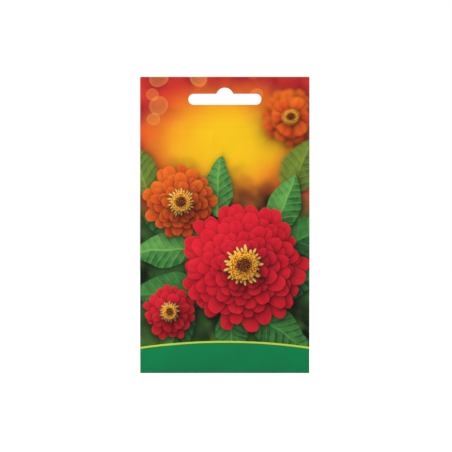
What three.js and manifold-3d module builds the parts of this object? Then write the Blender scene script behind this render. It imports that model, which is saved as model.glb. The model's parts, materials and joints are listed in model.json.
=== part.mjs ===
// A paper seed packet with a euro hang slot, and the loose seeds in its pocket.
//
// Millimetres, +Z up. The packet is upright, as it hangs: its printed front faces -Y,
// with +X on the viewer's right. The origin is where a display hook carries it, at the
// top of the slot's round middle, halfway between the two plies of the header.
//
// The envelope is one sheet of paper. From its free edge at the right of the back it
// runs left as the back panel, round the left fold, right as the front panel, round the
// right fold, and ends in a lap glued over the back panel. A foot flap below the front
// panel folds up over the back. Glued plies lie a glue film apart, so the sheet stays
// one thin slab that nowhere meets itself.

import * as THREE from 'three';
import { mergeVertices } from 'three/addons/utils/BufferGeometryUtils.js';
import Module from 'manifold-3d';

const wasm = await Module();
wasm.setup();

// Envelope
const WIDTH = 80;
const HEIGHT = 140;
const HEADER_HEIGHT = 24; // the two plies are glued together from here to the top edge
const PAPER = 0.15;
const GLUE_FILM = 0.05;
const BELLY = 2.4; // how far the front and the back each stand out over the seeds
const BELLY_LOW = 0.5; // 1 puts the belly halfway up the pocket, less puts it lower
const BELLY_FADE = 1.4; // how softly the belly runs out into the header
const LAP_WIDTH = 12; // side glue lap, on the back
const BACK_FREE_EDGE = 1.4; // from the back panel's free edge to the right fold
const FOOT_FLAP_INSET = 0.8; // each end of the foot flap, at its fold
const FOOT_FLAP_TAPER = 3.5; // each end of the foot flap, from its fold to its free edge
const FOOT_FLAP_STEP = 0.8; // length of the foot flap's rise onto the lap

// Euro slot: a bar with round ends and a round middle that rises above it
const SLOT_WIDTH = 34.5;
const SLOT_BAR = 5.2; // height of the bar
const SLOT_MIDDLE_RADIUS = 4.1;
const SLOT_MIDDLE_RISE = 2.9; // above the bar
const SLOT_FILLET = 0.8; // where the round middle meets the bar
const SLOT_TO_TOP = 5.1; // from the round middle to the packet's top edge

// Seeds: flat, and pointed at one end
const SEED_COUNT = 50;
const SEED_LENGTH = 8.2;
const SEED_WIDTH = 3.4;
const SEED_THICKNESS = 0.8;
const SEED_CLEARANCE = 0.15; // round each seed's face
const SEED_COLUMN = 4.4; // from one seed to the next across a row
const SEED_ROW = 8.9; // from one row up to the next
const SEED_FIRST_ROW = 9.2; // the lowest row's middle, above the bottom fold
const SEED_TILT = 0.09; // the most that a seed leans, in radians
const SEED_SHIFT = 0.15; // the most that a seed is off its place

// Mesh
const COLUMN_STEP = 5; // width of a cell across the panels
const POCKET_ROWS = 16;
const ROW_CROWDING = 1.7; // above 1 the rows lie closer towards the foot
const FOOT_FLAP_ROWS = 4; // as many of those rows as the foot flap is high
const FOLD_STEPS = 4;
const SLOT_STEPS = 10;
const SEED_SIDES = 6;

// Worked out
const PITCH = PAPER + GLUE_FILM; // from one ply to the next
const BOTTOM = SLOT_TO_TOP - HEIGHT; // z of the bottom fold
const POCKET_TOP = HEIGHT - HEADER_HEIGHT;
const LEFT_FOLD = PITCH / 2; // fold radii, to the middle of the paper
const RIGHT_FOLD = PITCH;
const FOOT_FOLD = 1.5 * PITCH;
const LEFT = LEFT_FOLD + PAPER / 2 - WIDTH / 2; // x where the panels run into the folds
const RIGHT = WIDTH / 2 - RIGHT_FOLD - PAPER / 2;
const FOOT = FOOT_FOLD + PAPER / 2; // height where they run into the foot fold
const LAP_EDGE = WIDTH / 2 - LAP_WIDTH;
const BACK_EDGE = WIDTH / 2 - BACK_FREE_EDGE;
const FOOT_FLAP_END = WIDTH / 2 - FOOT_FLAP_INSET;

// How far each panel stands out at x, h above the bottom fold
function belly(x, h) {
  const across = 1 - (x / RIGHT) ** 2;
  const up = (h - FOOT) / (POCKET_TOP - FOOT);
  if (across <= 0 || up <= 0 || up >= 1) return 0;
  return BELLY * across * Math.sin(Math.PI * up ** BELLY_LOW) ** BELLY_FADE;
}

// The foot flap lies on the back panel, and one ply further out where it covers the lap
function footLevel(x) {
  const rise = (x - (LAP_EDGE - 2 * FOOT_FLAP_STEP)) / FOOT_FLAP_STEP;
  return 1.5 + THREE.MathUtils.clamp(rise, 0, 1);
}

// Middle of the paper of each ply, in y
const PLY = {
  front: (x, h) => -0.5 * PITCH - belly(x, h),
  back: (x, h) => 0.5 * PITCH + belly(x, h),
  lap: (x, h) => 1.5 * PITCH + belly(x, h),
  foot: (x, h) => footLevel(x) * PITCH + belly(x, h),
};

// Lines across the panels that every ply shares, so that plies nest without meeting
function acrossLines() {
  const step = FOOT_FLAP_STEP;
  const special = [LEFT, -FOOT_FLAP_END, LAP_EDGE - 2 * step, LAP_EDGE - step, LAP_EDGE];
  special.push(BACK_EDGE, FOOT_FLAP_END, RIGHT);
  const plain = [];
  for (let x = COLUMN_STEP - WIDTH / 2; x < WIDTH / 2; x += COLUMN_STEP) plain.push(x);
  const clear = plain.filter((x) => special.every((s) => Math.abs(s - x) > COLUMN_STEP / 3));
  return [...special, ...clear].sort((a, b) => a - b);
}

// The sheet's columns in their order round the packet, from free edge to lap edge
function sheetColumns() {
  const lines = acrossLines();
  const back = lines.filter((x) => x <= BACK_EDGE).reverse();
  const lap = lines.filter((x) => x >= LAP_EDGE).reverse();
  const turn = (kind, from) =>
    Array.from({ length: FOLD_STEPS - 1 }, (_, k) => ({
      kind,
      angle: from + (Math.PI * (k + 1)) / FOLD_STEPS,
    }));
  return [
    ...back.map((x) => ({ kind: 'back', x })),
    ...turn('leftTurn', Math.PI / 2),
    ...lines.map((x) => ({ kind: 'front', x })),
    ...turn('rightTurn', -Math.PI / 2),
    ...lap.map((x) => ({ kind: 'lap', x })),
  ];
}

// The sheet's rows, from the foot flap's free edge down round its fold and up to the top
function sheetRows() {
  const heights = Array.from({ length: POCKET_ROWS + 1 }, (_, k) =>
    FOOT + (POCKET_TOP - FOOT) * (k / POCKET_ROWS) ** ROW_CROWDING);
  const flap = heights.slice(0, FOOT_FLAP_ROWS + 1).reverse();
  const turn = Array.from({ length: FOLD_STEPS - 1 }, (_, k) => (Math.PI * (k + 1)) / FOLD_STEPS);
  return [
    ...flap.map((h) => ({ kind: 'footFlap', h, rise: h / flap[0] })),
    ...turn.map((angle) => ({ kind: 'footTurn', angle })),
    ...heights.map((h) => ({ kind: 'panel', h, full: h > heights[0] })),
    { kind: 'panel', h: HEIGHT, full: true },
  ];
}

// The foot flap narrows towards its free edge, beyond its rise onto the lap
function footFlapX(x, rise) {
  const start = LAP_EDGE + COLUMN_STEP / 2;
  const beyond = Math.max(0, Math.abs(x) - start) / (FOOT_FLAP_END - start);
  return x - Math.sign(x) * beyond * rise * FOOT_FLAP_TAPER;
}

// A corner of the sheet, out from the middle of the paper towards the packet's outside
function sheetPoint(column, row, out) {
  if (row.kind === 'footFlap') {
    const x = footFlapX(column.x, row.rise);
    return [x, PLY.foot(x, row.h) + out, BOTTOM + row.h];
  }
  if (row.kind === 'footTurn') {
    const front = PLY.front(column.x, FOOT);
    const radius = (PLY.foot(column.x, FOOT) - front) / 2;
    const y = front + radius + (radius + out) * Math.cos(row.angle);
    return [column.x, y, BOTTOM + FOOT - (FOOT_FOLD + out) * Math.sin(row.angle)];
  }
  const z = BOTTOM + row.h;
  if (column.kind === 'leftTurn') {
    const reach = LEFT_FOLD + out;
    return [LEFT + reach * Math.cos(column.angle), reach * Math.sin(column.angle), z];
  }
  if (column.kind === 'rightTurn') {
    const reach = RIGHT_FOLD + out;
    const middle = PITCH / 2;
    return [RIGHT + reach * Math.cos(column.angle), middle + reach * Math.sin(column.angle), z];
  }
  const side = column.kind === 'front' ? -1 : 1;
  return [column.x, PLY[column.kind](column.x, row.h) + side * out, z];
}

// Whether the blank has paper between two neighbouring columns and two neighbouring rows
function hasPaper(left, right, low, high) {
  const onFront = left.kind === 'front' && right.kind === 'front';
  if (low.kind !== 'panel' || high.kind !== 'panel') {
    return onFront && Math.abs(left.x) <= FOOT_FLAP_END && Math.abs(right.x) <= FOOT_FLAP_END;
  }
  return onFront || low.full;
}

// One closed slab over the blank's cells, with a wall along each edge that no cell shares
function sheetGeometry() {
  const columns = sheetColumns();
  const rows = sheetRows();
  const sides = [PAPER / 2, -PAPER / 2];
  const positions = sides.flatMap((out) =>
    rows.flatMap((row) => columns.flatMap((column) => {
      const reachesFoot = row.kind === 'panel' || column.kind === 'front';
      return reachesFoot ? sheetPoint(column, row, out) : [0, 0, 0];
    })));
  const corner = (side, i, j) => (side * rows.length + j) * columns.length + i;
  const paper = (i, j) =>
    i >= 0 && j >= 0 && i < columns.length - 1 && j < rows.length - 1 &&
    hasPaper(columns[i], columns[i + 1], rows[j], rows[j + 1]);
  const index = [];
  const quad = (a, b, c, d) => index.push(a, b, c, a, c, d);
  const wall = (i0, j0, i1, j1) =>
    quad(corner(0, i1, j1), corner(0, i0, j0), corner(1, i0, j0), corner(1, i1, j1));
  for (let j = 0; j < rows.length - 1; j++) {
    for (let i = 0; i < columns.length - 1; i++) {
      if (!paper(i, j)) continue;
      const outer = [[i, j], [i + 1, j], [i + 1, j + 1], [i, j + 1]];
      quad(...outer.map(([a, b]) => corner(0, a, b)));
      quad(...outer.reverse().map(([a, b]) => corner(1, a, b)));
      if (!paper(i, j - 1)) wall(i, j, i + 1, j);
      if (!paper(i + 1, j)) wall(i + 1, j, i + 1, j + 1);
      if (!paper(i, j + 1)) wall(i + 1, j + 1, i, j + 1);
      if (!paper(i - 1, j)) wall(i, j + 1, i, j);
    }
  }
  const geometry = new THREE.BufferGeometry();
  geometry.setAttribute('position', new THREE.Float32BufferAttribute(positions, 3));
  geometry.setIndex(index);
  return geometry;
}

// The slot's outline, x across and y up, with the origin at the top of the round middle
function slotShape() {
  const barTop = -SLOT_MIDDLE_RISE;
  const barMiddle = barTop - SLOT_BAR / 2;
  const endRadius = SLOT_BAR / 2;
  const endX = SLOT_WIDTH / 2 - endRadius;
  const roundY = -SLOT_MIDDLE_RADIUS;
  const filletY = barTop + SLOT_FILLET;
  const filletX = Math.sqrt((SLOT_MIDDLE_RADIUS + SLOT_FILLET) ** 2 - (filletY - roundY) ** 2);
  const meet = Math.atan2(filletY - roundY, filletX);
  const quarter = Math.PI / 2;
  const shape = new THREE.Shape();
  shape.moveTo(-endX, barMiddle - endRadius);
  shape.lineTo(endX, barMiddle - endRadius);
  shape.absarc(endX, barMiddle, endRadius, -quarter, quarter, false);
  shape.absarc(filletX, filletY, SLOT_FILLET, -quarter, meet - Math.PI, true);
  shape.absarc(0, roundY, SLOT_MIDDLE_RADIUS, meet, Math.PI - meet, false);
  shape.absarc(-filletX, filletY, SLOT_FILLET, -meet, -quarter, true);
  shape.absarc(-endX, barMiddle, endRadius, quarter, 3 * quarter, false);
  return shape;
}

function toSolid(geometry) {
  const bare = geometry.clone();
  bare.deleteAttribute('normal');
  bare.deleteAttribute('uv');
  const merged = mergeVertices(bare, 1e-4);
  const vertProperties = new Float32Array(merged.attributes.position.array);
  const triVerts = new Uint32Array(merged.index.array);
  return new wasm.Manifold(new wasm.Mesh({ numProp: 3, vertProperties, triVerts }));
}

function toGeometry(solid) {
  const mesh = solid.getMesh();
  const geometry = new THREE.BufferGeometry();
  geometry.setAttribute('position', new THREE.BufferAttribute(mesh.vertProperties, 3));
  geometry.setIndex(new THREE.BufferAttribute(mesh.triVerts, 1));
  geometry.computeVertexNormals();
  return geometry;
}

function packet() {
  const punchDepth = 10 * PAPER;
  const punch = new THREE.ExtrudeGeometry(slotShape(), {
    depth: punchDepth,
    bevelEnabled: false,
    curveSegments: SLOT_STEPS,
  });
  punch.rotateX(Math.PI / 2).translate(0, punchDepth / 2, 0);
  const geometry = toGeometry(toSolid(sheetGeometry()).subtract(toSolid(punch)));
  const print = new THREE.MeshStandardMaterial({ color: 0xc8402c, roughness: 0.5, metalness: 0 });
  const mesh = new THREE.Mesh(geometry, print);
  mesh.name = 'packet_paper';
  return mesh;
}

// A slim drop turned about its length, then pressed flat
function seedGeometry() {
  const drop = [[0, -0.5], [0.16, -0.44], [0.36, -0.05], [0.5, 0.26], [0.36, 0.46], [0, 0.5]];
  const profile = drop.map(([r, y]) => new THREE.Vector2(r * SEED_WIDTH, y * SEED_LENGTH));
  const geometry = new THREE.LatheGeometry(profile, SEED_SIDES);
  geometry.scale(1, 1, SEED_THICKNESS / SEED_WIDTH / Math.cos(Math.PI / SEED_SIDES));
  return geometry.rotateX(Math.PI / 2);
}

// A repeatable run of numbers from -1 to 1
function spread(seed) {
  let state = seed;
  return () => {
    state = (state * 48271) % 2147483647;
    return (2 * state) / 2147483647 - 1;
  };
}

// One seed at x, h above the bottom fold. Its share is 1 against the back panel, -1
// against the front, and it lies along the panel's slope in that proportion.
function seedMesh(geometry, husk, draw, { number, x, h, share, turn }) {
  const seed = new THREE.Mesh(geometry, husk);
  seed.name = `seed_${String(number).padStart(2, '0')}`;
  const inset = SEED_THICKNESS / 2 + SEED_CLEARANCE;
  const y = share * (belly(x, h) - inset);
  seed.position.set(x + SEED_SHIFT * draw(), y, BOTTOM + h + SEED_SHIFT * draw());
  const slopeX = share * (belly(x + 1, h) - belly(x - 1, h)) / 2;
  const slopeH = share * (belly(x, h + 2) - belly(x, h - 2)) / 4;
  seed.rotation.set(-Math.atan(slopeH), turn + SEED_TILT * draw(), Math.atan(slopeX), 'ZXY');
  return seed;
}

// Upright rows from the foot of the pocket up, in as many layers as its depth has room
// for. A seed with the depth to itself leans on one panel, and the next on the other.
function seeds() {
  const group = new THREE.Group();
  const husk = new THREE.MeshStandardMaterial({ color: 0x8a6a42, roughness: 0.8, metalness: 0 });
  const geometry = seedGeometry();
  const draw = spread(7);
  const layerDepth = SEED_THICKNESS + 2 * SEED_CLEARANCE;
  const reach = Math.floor(RIGHT / SEED_COLUMN);
  for (let row = 0; group.children.length < SEED_COUNT; row++) {
    const h = SEED_FIRST_ROW + row * SEED_ROW;
    for (let column = -reach; column <= reach; column++) {
      const x = (column + (row % 2) / 2) * SEED_COLUMN;
      const room = 2 * belly(Math.abs(x) + SEED_WIDTH / 2, h - SEED_LENGTH / 2) + GLUE_FILM;
      const layers = Math.floor(room / layerDepth);
      const parity = Math.abs(column + row) % 2;
      for (let layer = 0; layer < layers && group.children.length < SEED_COUNT; layer++) {
        const share = layers === 1 ? 2 * parity - 1 : 1 - (2 * layer) / (layers - 1);
        const turn = (parity + layer) % 2 === 0 ? 0 : Math.PI;
        const number = group.children.length + 1;
        group.add(seedMesh(geometry, husk, draw, { number, x, h, share, turn }));
      }
    }
  }
  return group;
}

const root = new THREE.Group();
root.add(packet(), seeds());

export default root;
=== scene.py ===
import json
import math
import random

import bpy
import numpy as np
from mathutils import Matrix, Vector
from mathutils.geometry import delaunay_2d_cdt

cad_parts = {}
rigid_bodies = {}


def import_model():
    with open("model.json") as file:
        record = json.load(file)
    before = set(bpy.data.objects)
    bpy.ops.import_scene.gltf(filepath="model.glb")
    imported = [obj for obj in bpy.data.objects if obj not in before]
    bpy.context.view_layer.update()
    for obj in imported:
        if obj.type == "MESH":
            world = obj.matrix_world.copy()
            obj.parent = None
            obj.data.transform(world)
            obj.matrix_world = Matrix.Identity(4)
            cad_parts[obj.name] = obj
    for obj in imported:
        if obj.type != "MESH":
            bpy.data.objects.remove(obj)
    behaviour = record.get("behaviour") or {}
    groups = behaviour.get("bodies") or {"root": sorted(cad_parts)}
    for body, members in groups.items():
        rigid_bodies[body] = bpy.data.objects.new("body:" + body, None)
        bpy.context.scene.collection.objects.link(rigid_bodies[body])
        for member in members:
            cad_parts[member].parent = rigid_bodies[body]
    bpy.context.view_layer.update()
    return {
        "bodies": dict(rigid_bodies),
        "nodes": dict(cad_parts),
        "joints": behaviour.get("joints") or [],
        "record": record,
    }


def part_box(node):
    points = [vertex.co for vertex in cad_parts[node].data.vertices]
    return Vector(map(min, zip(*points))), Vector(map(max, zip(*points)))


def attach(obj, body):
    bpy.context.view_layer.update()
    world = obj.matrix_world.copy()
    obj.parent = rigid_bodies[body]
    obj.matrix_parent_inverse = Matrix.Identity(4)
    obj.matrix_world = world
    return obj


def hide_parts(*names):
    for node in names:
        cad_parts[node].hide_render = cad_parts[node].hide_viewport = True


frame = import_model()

# A paper seed packet with a printed front. Its sizes are in millimetres. x, y and z are the
# frame's, and h is the height above the packet's bottom fold.

MM = 0.001
LOW, HIGH = (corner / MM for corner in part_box("packet_paper"))
WIDTH = HIGH.x - LOW.x
HEIGHT = HIGH.z - LOW.z
BOTTOM = LOW.z
MIDDLE = BOTTOM + HEIGHT / 2
SEEDS = sorted(name for name in frame["nodes"] if name.startswith("seed_"))
SEED_MIDDLES = [sum(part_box(name), Vector()) / 2 / MM for name in SEEDS]

# Envelope, as the CAD has it
HEADER_HEIGHT = 24
PAPER = 0.15
PITCH = PAPER + 0.05  # from one glued ply to the next
PLY_LEVELS = {"front": -0.5, "back": 0.5, "lap": 1.5}  # of their middles, in pitches
BELLY = 2.4
BELLY_LOW = 0.5  # the less it is, the lower the belly hangs
BELLY_FADE = 1.4  # the more it is, the flatter the belly is at its ends
LAP_EDGE = WIDTH / 2 - 12
BACK_EDGE = WIDTH / 2 - 1.4
BACK_RISE = 1  # from the foot's fold up to where the back and the lap end
FLAP_END = WIDTH / 2 - 0.8
FLAP_HEIGHT = 11.3
FLAP_SLANT = 3.5  # how far in each end of its top edge is
SLANT_START = LAP_EDGE + 3
FLAP_STEP = 0.8  # over which it climbs onto the lap
CORNER_START = FLAP_END + 0.03  # from here out, the front ends in a cut edge
LEFT_FOLD = PITCH / 2
RIGHT_FOLD = PITCH
FOOT_FOLD = 1.5 * PITCH
LEFT = LEFT_FOLD + PAPER / 2 - WIDTH / 2
RIGHT = WIDTH / 2 - RIGHT_FOLD - PAPER / 2
FOOT = FOOT_FOLD + PAPER / 2
POCKET_TOP = HEIGHT - HEADER_HEIGHT

# Hang slot, as the CAD has it, with its origin at the top of the round middle
SLOT_WIDTH = 34.5
SLOT_BAR = 5.2
ROUND_RADIUS = 4.1  # of the round middle
ROUND_RISE = 2.9  # of the round middle above the bar
SLOT_FILLET = 0.8
FILLET_Z = SLOT_FILLET - ROUND_RISE  # the middles of its two fillets
FILLET_X = math.sqrt((ROUND_RADIUS + SLOT_FILLET) ** 2 - (FILLET_Z + ROUND_RADIUS) ** 2)

# Mesh
CELL = 0.74  # width of a cell of paper
FOLD_STEPS = 8
SLOT_STEP = 0.3  # between points along the slot's outline
SLOT_MARGIN = 0.45  # from the slot to the nearest point inside a patch
PATCH_X = 20  # the part of each ply round the slot that is cut from triangles
PATCH_LOW = HEIGHT - 17
PATCH_HIGH = HEIGHT - 2
NEAR = 1e-6  # two places less than this apart are the same

# Seeds: they stay inside the CAD's faceted ones
SEED_HALF_WIDTH = 1.42
SEED_HALF_DEPTH = 0.42
SEED_GAP = 0.05  # between a seed and the paper, at least
SEED_ROWS = 28
SEED_SIDES = 20

# Print
FOOTER_HEIGHT = 13
BACK_FOOT_HEIGHT = 20.5
BACK_BAND = HEIGHT - 21  # where the back's band at the header ends
BACK_PANEL = 33  # half the width of the back's panel and of its strip of months
PRINT_SPECULAR = 0.28


def srgb(red, green, blue):
    """A colour as it looks, from 0 to 255, as the linear colour that shaders take."""
    linear = [v / 12.92 if v <= 0.04045 else ((v + 0.055) / 1.055) ** 2.4
              for v in (red / 255, green / 255, blue / 255)]
    return (*linear, 1.0)


# ---- shape of the paper

def belly(x, h):
    """How far each panel stands out over the seeds."""
    across = np.clip(1 - (x / RIGHT) ** 2, 0, None)
    up = np.clip((h - FOOT) / (POCKET_TOP - FOOT), 0, 1)
    return BELLY * across * np.abs(np.sin(np.pi * up ** BELLY_LOW)) ** BELLY_FADE


def bend(x, h):
    """The slow bend of the whole packet, which all plies share."""
    slow = 0.2 * np.sin(0.055 * x + 0.8) * np.sin(0.034 * h + 0.3)
    fine = 0.07 * np.sin(0.16 * x + 0.05 * h + 2.0) + 0.05 * np.sin(0.11 * h - 0.07 * x)
    seal = -0.07 * np.exp(-((h - POCKET_TOP - 1) / 0.8) ** 2)
    return slow + fine + seal


def crease(off, run, rise, reach, width, widening=0.1):
    """One crease in paper, off to the side of its crest and a run along it. It rises from a
    fold or a corner, widens as it goes and fades out round its reach."""
    ridge = np.exp(-np.sqrt((off / (width + widening * run)) ** 2 + 0.05))
    return (1 - np.exp(-run / rise)) * np.exp(-(run / reach) ** 2) * ridge


def creases(x, h, seed):
    """Short soft creases that run in from both folds, where the flat sheet has to bulge."""
    draw = random.Random(seed)
    total = np.zeros_like(x)
    count, lowest, span = 6, 7, 88
    for side in (-1, 1):
        inward = np.clip(RIGHT - side * x, 0, None)
        for k in range(count):
            root = lowest + span * (k + draw.uniform(0.1, 0.9)) / count
            lean = draw.uniform(-0.35, 0.5)
            reach = draw.uniform(9, 24)
            depth = draw.uniform(0.2, 0.5) * draw.choice((-1, 1))
            total += depth * crease(h - root - lean * inward, inward, 1.6, reach, 0.8, 0.09)
    return total


def puckers(x, h, seed):
    """Upright puckers below the glued header, where the pocket opens."""
    draw = random.Random(seed)
    total = np.zeros_like(x)
    count, reach_x = 6, 34
    below = np.clip(POCKET_TOP - h, 0, None)
    for k in range(count):
        root = 2 * reach_x * (k + draw.uniform(0.1, 0.9)) / count - reach_x
        lean = draw.uniform(-0.25, 0.25)
        reach = draw.uniform(9, 20)
        height = draw.uniform(0.08, 0.26)
        total += height * crease(x - root - lean * below, below, 2.5, reach, 1)
    return total


def corner_ridges(x, h):
    """The ridge from each bottom corner to the belly."""
    inward = WIDTH / 2 - np.abs(x)
    return 0.4 * crease(inward * 0.62 - h * 0.78, np.hypot(inward, h), 2, 17, 1.15)


def seed_bumps(x, h, side):
    """Where the seeds that lean on this panel press it out, some more than others."""
    draw = random.Random(40 + side)
    total = np.zeros_like(x)
    for middle in SEED_MIDDLES:
        if middle.y * side > 0:
            height, tilt = draw.uniform(0.02, 0.22), draw.uniform(-1.2, 1.2)
            across = x - middle.x + draw.uniform(-1.6, 1.6)
            up = h - (middle.z - BOTTOM) + draw.uniform(-2.5, 2.5)
            wide = (across * math.cos(tilt) + up * math.sin(tilt)) / 1.7
            long = (up * math.cos(tilt) - across * math.sin(tilt)) / 3.8
            total += height * np.exp(-wide ** 2 - long ** 2)
    return total


def buckles(x, h, side):
    """Broad shallow buckles of one panel."""
    first = np.sin(0.21 * x + 0.12 * h * side + 1.3) * np.sin(0.1 * h - 0.06 * x + side)
    second = np.sin(0.13 * x - 0.17 * h + 2 * side)
    return 0.22 * first + 0.15 * second


def panel_detail(x, h, side):
    """What one panel adds to the belly. It fades out at the header, the folds and the foot,
    and never reaches through to the other panel."""
    header_fade, fold_fade, most_inward = 12, 3, 0.75
    pocket = np.clip((POCKET_TOP - h) / header_fade, 0, 1) * np.clip(h / fold_fade, 0, 1)
    edge = np.clip((RIGHT - np.abs(x)) / fold_fade, 0, 1)
    detail = creases(x, h, 11 + side) + corner_ridges(x, h) + seed_bumps(x, h, side)
    detail = (detail + buckles(x, h, side)) * pocket + puckers(x, h, 21 + side)
    return np.maximum(detail * edge, -most_inward * belly(x, h))


def foot_level(x):
    """The foot flap lies on the back panel, and one ply further out over the lap."""
    rise = (x - (LAP_EDGE - 2 * FLAP_STEP)) / FLAP_STEP
    return PLY_LEVELS["back"] + 1 + np.clip(rise, 0, 1)


def ply_y(ply, x, h):
    """Where the middle of a ply's paper is."""
    side = -1 if ply == "front" else 1
    level = foot_level(x) if ply == "foot" else PLY_LEVELS[ply]
    return level * PITCH + bend(x, h) + side * (belly(x, h) + panel_detail(x, h, side))


def lines(start, end, special):
    """Places from start to end about a cell apart that also hit the special ones."""
    stops = sorted({start, end, *(s for s in special if start < s < end)})
    places = [start]
    for a, b in zip(stops, stops[1:]):
        parts = max(1, round((b - a) / CELL))
        places += [a + (b - a) * (k + 1) / parts for k in range(parts)]
    return places


def fold_angles():
    """Angles of the points between the two ends of a fold."""
    return [math.pi * (k + 1) / FOLD_STEPS for k in range(FOLD_STEPS - 1)]


def back_across(x):
    """Place across the flat sheet of a place on the back."""
    return LEFT - math.pi * LEFT_FOLD - (x - LEFT)


def sheet_columns():
    """(kind, x, angle, place across the flat sheet) round the packet."""
    special = [LAP_EDGE - 2 * FLAP_STEP, LAP_EDGE - FLAP_STEP, LAP_EDGE, BACK_EDGE]
    for side in (-1, 1):
        special += [side * PATCH_X, side * FLAP_END, side * CORNER_START]
    across = lines(LEFT, RIGHT, special)
    back = [("back", x, 0.0, back_across(x)) for x in reversed(across) if x <= BACK_EDGE]
    front = [("front", x, 0.0, x) for x in across]
    lap = [("lap", x, 0.0, RIGHT + math.pi * RIGHT_FOLD + RIGHT - x)
           for x in reversed(across) if x >= LAP_EDGE]
    left = [("left", LEFT, math.pi / 2 + a, LEFT - (math.pi - a) * LEFT_FOLD)
            for a in fold_angles()]
    right = [("right", RIGHT, a - math.pi / 2, RIGHT + a * RIGHT_FOLD) for a in fold_angles()]
    return back + left + front + right + lap


def sheet_rows():
    """(kind, h, angle, place up the flat sheet) from the foot flap's free edge to the top."""
    flap_top = FOOT + FLAP_HEIGHT
    special = [FOOT + BACK_RISE, flap_top, POCKET_TOP, PATCH_LOW, PATCH_HIGH]
    heights = lines(FOOT, HEIGHT, special)
    flap = [("flap", h, 0.0, -h) for h in reversed(heights) if h <= flap_top + NEAR]
    turn = [("turn", 0.0, a, FOOT * (2 * a / math.pi - 1)) for a in fold_angles()]
    return flap + turn + [("panel", h, 0.0, h) for h in heights]


def sheet_points(columns, rows):
    """The middle of the paper at each crossing of a row and a column, in mm."""
    points = np.zeros((len(rows), len(columns), 3))
    kinds, xs, angles = (np.array([c[k] for c in columns]) for k in range(3))
    slant_width = FLAP_END - SLANT_START
    for row, (kind, h, turn, _) in zip(points, rows):
        x, y, z = xs.copy(), np.zeros_like(xs), BOTTOM + h
        if kind == "panel":
            for ply in ("front", "back", "lap"):
                mask = kinds == ply
                y[mask] = ply_y(ply, xs[mask], h)
            for side, fold, middle in (("left", LEFT_FOLD, 0.0), ("right", RIGHT_FOLD, PITCH / 2)):
                mask = kinds == side
                x[mask] += fold * np.cos(angles[mask])
                y[mask] = middle + bend(xs[mask], h) + fold * np.sin(angles[mask])
            if h == FOOT:
                z = np.where(np.abs(x) > FLAP_END + NEAR, BOTTOM, z)
        elif kind == "flap":
            rise = h / (FOOT + FLAP_HEIGHT)
            beyond = np.clip(np.abs(xs) - SLANT_START, 0, None) / slant_width
            x -= np.sign(xs) * beyond * rise * FLAP_SLANT
            y = ply_y("foot", x, h)
        else:
            front = ply_y("front", xs, FOOT)
            radius = (ply_y("foot", xs, FOOT) - front) / 2
            y = front + radius + radius * math.cos(turn)
            z = BOTTOM + FOOT - FOOT_FOLD * math.sin(turn)
        row[:, 0], row[:, 1], row[:, 2] = x, y, z
    return points


def slot_outline():
    """Points round the hang slot, as (x, z)."""
    bar_top = -ROUND_RISE
    end = SLOT_BAR / 2
    end_x = SLOT_WIDTH / 2 - end
    meet = math.atan2(FILLET_Z + ROUND_RADIUS, FILLET_X)
    quarter = math.pi / 2

    def arc(cx, cz, radius, start, stop):
        parts = max(4, round(abs(stop - start) * radius / SLOT_STEP))
        angles = [start + (stop - start) * k / parts for k in range(parts + 1)]
        return [(cx + radius * math.cos(a), cz + radius * math.sin(a)) for a in angles]

    outline = arc(end_x, bar_top - end, end, -quarter, quarter)
    outline += arc(FILLET_X, FILLET_Z, SLOT_FILLET, -quarter, meet - math.pi)
    outline += arc(0, -ROUND_RADIUS, ROUND_RADIUS, meet, math.pi - meet)
    outline += arc(-FILLET_X, FILLET_Z, SLOT_FILLET, -meet, -quarter)
    outline += arc(-end_x, bar_top - end, end, quarter, 3 * quarter)
    return outline


def in_slot(x, z, margin):
    """Whether a point lies in the slot, or within the margin round it."""
    bar_middle = -ROUND_RISE - SLOT_BAR / 2
    run = max(0.0, abs(x) - (SLOT_WIDTH / 2 - SLOT_BAR / 2))
    bar = math.hypot(run, z - bar_middle) < SLOT_BAR / 2 + margin
    middle = math.hypot(x, z + ROUND_RADIUS) < ROUND_RADIUS + margin
    return bar or middle


def near_fillet(x, z):
    """Whether a point lies in the part of the slot that its two fillets add to the bar and
    the round middle."""
    overlap = 0.1
    if abs(x) > FILLET_X or not -ROUND_RISE - overlap < z < FILLET_Z:
        return False
    return math.hypot(abs(x) - FILLET_X, z - FILLET_Z) > SLOT_FILLET


def slot_patch(xs, hs):
    """The rectangle xs by hs with the slot cut from it: points as (x, h), triangles, and
    the (row, column) of each point on the rectangle's edge, which come first."""
    edge = [(0, i) for i in range(len(xs))]
    edge += [(j, len(xs) - 1) for j in range(1, len(hs))]
    edge += [(len(hs) - 1, i) for i in range(len(xs) - 2, -1, -1)]
    edge += [(j, 0) for j in range(len(hs) - 2, 0, -1)]
    points = [(xs[i], hs[j]) for j, i in edge]
    points += [(x, z - BOTTOM) for x, z in slot_outline()]
    rings = []
    for start, end in ((0, len(edge)), (len(edge), len(points))):
        rings += [(k, k + 1) for k in range(start, end - 1)] + [(end - 1, start)]
    for h in hs[1:-1]:
        points += [(x, h) for x in xs[1:-1] if not in_slot(x, h + BOTTOM, SLOT_MARGIN)]
    inside_rings, least_gap = 1, 1e-5
    cut = delaunay_2d_cdt([Vector(p) for p in points], rings, [], inside_rings, least_gap)
    spots, faces = cut[0], cut[2]
    arc_depth = 0.02  # how far the outline's arcs rise beyond their chords, at most
    triangles = []
    for face in faces:
        x, h = (sum(spots[v][k] for v in face) / 3 for k in (0, 1))
        if not in_slot(x, h + BOTTOM, -arc_depth) and not near_fillet(x, h + BOTTOM):
            triangles.append(face)
    return spots, triangles, edge


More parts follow.
